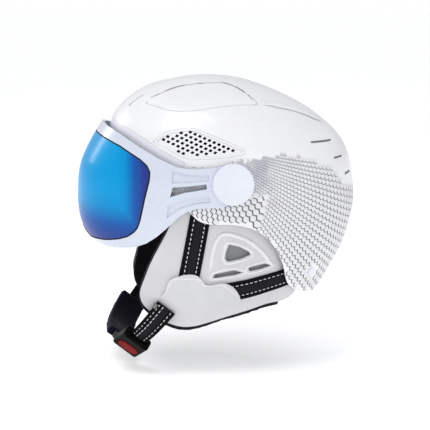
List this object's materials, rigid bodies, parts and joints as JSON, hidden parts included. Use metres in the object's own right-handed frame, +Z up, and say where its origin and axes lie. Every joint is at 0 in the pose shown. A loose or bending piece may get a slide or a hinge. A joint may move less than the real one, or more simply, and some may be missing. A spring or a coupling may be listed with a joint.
{
  "type": "ski helmet",
  "caption": "Hard-shell ski helmet with a flip-up mirrored visor, vented crown, rigid ear guards, webbing chin strap with push-button buckle and a dial fit system.",
  "frame": {"origin": "centre of the wearer's head at ear-canal level, on the head's upright axis", "axes": "+X to the wearer's left, -Y the way the face looks, +Z up towards the crown"},
  "size_m": [0.2312, 0.2868, 0.2867],
  "materials": {
    "shell_white": "satin white, fine scale relief at the rear",
    "brow_band": "soft-touch lavender grey",
    "liner_foam": "moulded expanded foam, black",
    "pad_fabric": "brushed knit, black",
    "visor_white": "gloss, cool white",
    "mirror_lens": "blue mirror coating",
    "lens_rubber": "matte black",
    "face_foam": "open-cell foam, black",
    "pivot_metal": "brushed",
    "washer_nylon": "natural nylon",
    "guard_grey": "satin warm light grey",
    "vent_mesh": "woven mesh, grey",
    "webbing": "ribbed webbing with white stitching",
    "buckle_black": "fine texture",
    "button_red": "gloss dark red",
    "chin_fleece": "fleece, near-black",
    "fit_plastic": "satin black"
  },
  "bodies": {
    "helmet": {"brow_pad": "pad_fabric", "brow_strip": "brow_band", "crown_cover_left": "shell_white", "crown_cover_right": "shell_white", "crown_pad": "pad_fabric", "ear_cushion_left": "pad_fabric", "ear_cushion_right": "pad_fabric", "ear_guard_left": "guard_grey", "ear_guard_right": "guard_grey", "ear_mesh_left": "vent_mesh", "ear_mesh_right": "vent_mesh", "eps_liner": "liner_foam", "fit_dial_housing": "fit_plastic", "friction_washer_left": "washer_nylon", "friction_washer_right": "washer_nylon", "front_strap_left": "webbing", "front_strap_right": "webbing", "nape_cradle": "pad_fabric", "outer_shell": "shell_white", "pivot_bush_left": "pivot_metal", "pivot_bush_right": "pivot_metal", "pivot_screw_left": "pivot_metal", "pivot_screw_right": "pivot_metal", "rear_pad": "pad_fabric", "rear_strap_left": "webbing", "rear_strap_right": "webbing", "rear_stud_left": "pivot_metal", "rear_stud_right": "pivot_metal", "side_grille_left": "shell_white", "side_grille_right": "shell_white", "strap_cover_left": "guard_grey", "strap_cover_right": "guard_grey", "strap_rivets_left": "pivot_metal", "strap_rivets_right": "pivot_metal", "temple_pad_left": "pad_fabric", "temple_pad_right": "pad_fabric"},
    "visor": {"visor_frame": "visor_white", "visor_lens": "mirror_lens", "lens_gasket": "lens_rubber", "nose_foam": "face_foam", "pivot_cap_left": "visor_white", "pivot_cap_right": "visor_white"},
    "chin_loop": {"chin_strap_left": "webbing", "buckle_housing": "buckle_black", "button_spring": "pivot_metal"},
    "button": {"buckle_button": "button_red"},
    "tongue": {"buckle_tongue": "buckle_black", "strap_slider": "buckle_black", "chin_strap_right": "webbing", "chin_pad": "chin_fleece"},
    "dial": {"fit_dial": "fit_plastic", "fit_pinion": "fit_plastic"},
    "band_left": {"fit_band_left": "fit_plastic"},
    "band_right": {"fit_band_right": "fit_plastic"}
  },
  "joints": [
    {"name": "visor_tilt", "type": "hinge", "parent": "helmet", "child": "visor", "pos_m": [0, -0.013, 0.062], "axis": [-1, 0, 0], "range_deg": [0, 52]},
    {"name": "chin_loop_swing", "type": "hinge", "parent": "helmet", "child": "chin_loop", "pos_m": [0, -0.0725, -0.0628], "axis": [-1, 0, 0], "range_deg": [-16, 14], "stiffness_Nm_per_rad": 0.8},
    {"name": "button_press", "type": "slide", "parent": "chin_loop", "child": "button", "axis": [-0.6157, 0.4959, 0.6124], "range_m": [0, 0.0025], "stiffness_N_per_m": 400, "springref_m": -0.001, "deforming": ["button_spring"]},
    {"name": "tongue_slide", "type": "slide", "parent": "chin_loop", "child": "tongue", "axis": [-0.788, -0.3874, -0.4785], "range_m": [0, 0.022], "deforming": ["chin_strap_right"]},
    {"name": "dial_turn", "type": "hinge", "parent": "helmet", "child": "dial", "pos_m": [0, 0.075, -0.038], "axis": [0, 1, 0], "range_deg": [0, 150]},
    {"name": "band_left_travel", "type": "hinge", "parent": "helmet", "child": "band_left", "pos_m": [0, 0.019, -0.038], "axis": [0, 0, 1], "range_deg": [-1, 13]},
    {"name": "band_right_travel", "type": "hinge", "parent": "helmet", "child": "band_right", "pos_m": [0, 0.019, -0.038], "axis": [0, 0, 1], "range_deg": [-13, 1]}
  ],
  "couplings": [
    {"joint": "band_left_travel", "follows": "dial_turn", "ratio": 0.07547},
    {"joint": "band_right_travel", "follows": "dial_turn", "ratio": -0.07547}
  ]
}
